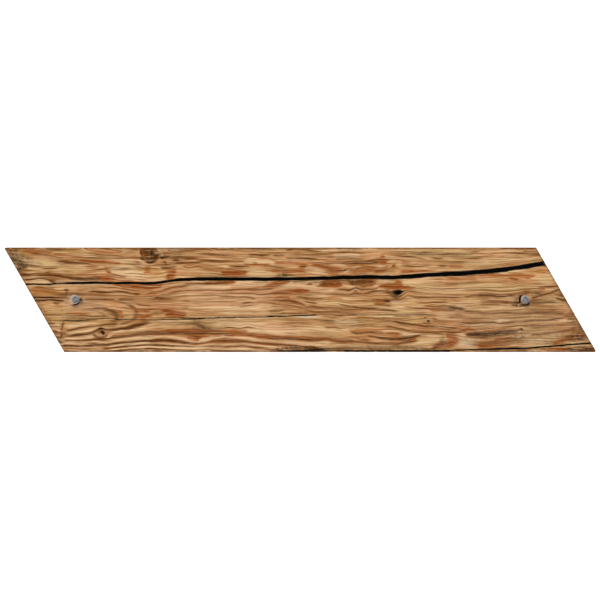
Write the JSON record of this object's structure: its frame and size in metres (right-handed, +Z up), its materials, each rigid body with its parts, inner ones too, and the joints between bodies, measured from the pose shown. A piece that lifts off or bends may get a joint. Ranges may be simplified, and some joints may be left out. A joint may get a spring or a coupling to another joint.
{
  "type": "wood-look porcelain tile",
  "caption": "Slanted plank tile for a chevron floor or wall: printed old-wood face with cracks, knots and nail heads, rounded arris and a ribbed bedding side.",
  "frame": {"origin": "middle of the bedding side, where two keying ribs cross, level with the ribs' tops", "axes": "+X along the plank, towards the tip of the front long edge; +Y across it, towards the rear long edge; +Z up, out of the printed face"},
  "size_m": [0.5086, 0.09, 0.009],
  "materials": {
    "printed_glaze": "matte"
  },
  "bodies": {
    "root": {"tile": "printed_glaze"}
  },
  "joints": []
}
